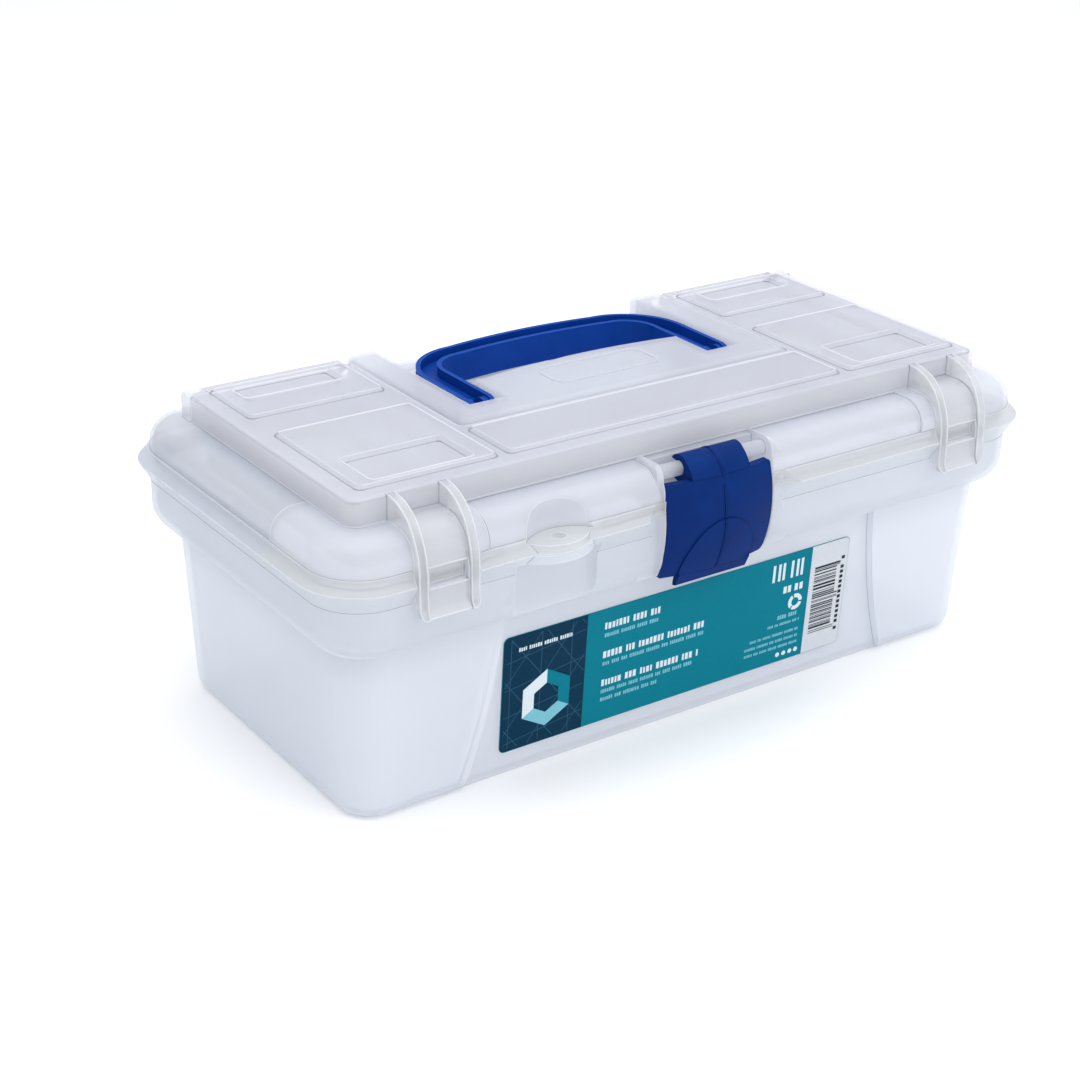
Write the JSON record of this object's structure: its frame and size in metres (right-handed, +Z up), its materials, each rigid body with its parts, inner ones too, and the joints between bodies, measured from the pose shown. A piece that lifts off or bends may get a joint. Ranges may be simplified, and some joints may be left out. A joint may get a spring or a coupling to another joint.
{
  "type": "art supply storage box",
  "caption": "Translucent snap-lid art supply box with a clear compartment cover and carry handle in the lid and a swinging front latch.",
  "frame": {"origin": "centre of the bottom face that the box stands on", "axes": "+X along the length, to the viewer's right when the latch is faced; -Y towards the front with the latch; +Z up"},
  "size_m": [0.305, 0.1651, 0.1164],
  "materials": {
    "tub_plastic": "milky translucent polypropylene",
    "lid_plastic": "milky translucent polypropylene",
    "cover_plastic": "clear polypropylene",
    "handle_plastic": "satin blue",
    "latch_plastic": "satin blue",
    "label_print": "printed film",
    "hinge_pin": "natural plastic"
  },
  "bodies": {
    "tub_body": {"tub": "tub_plastic", "front_label": "label_print", "hinge_pin_left": "hinge_pin", "hinge_pin_right": "hinge_pin"},
    "lid_body": {"lid": "lid_plastic"},
    "cover_body": {"storage_cover": "cover_plastic"},
    "handle_body": {"carry_handle": "handle_plastic"},
    "latch_body": {"front_latch": "latch_plastic"}
  },
  "joints": [
    {"name": "lid_hinge", "type": "hinge", "parent": "tub_body", "child": "lid_body", "pos_m": [0, 0.081, 0.09], "axis": [-1, 0, 0], "range_deg": [0, 110]},
    {"name": "cover_hinge", "type": "hinge", "parent": "lid_body", "child": "cover_body", "pos_m": [0, 0.0548, 0.1116], "axis": [-1, 0, 0], "range_deg": [0, 110]},
    {"name": "handle_pivot", "type": "hinge", "parent": "lid_body", "child": "handle_body", "pos_m": [0, -0.0015, 0.1087], "axis": [1, 0, 0], "range_deg": [0, 88]},
    {"name": "latch_pivot", "type": "hinge", "parent": "lid_body", "child": "latch_body", "pos_m": [0, -0.065, 0.1014], "axis": [-1, 0, 0], "range_deg": [0, 100]}
  ]
}
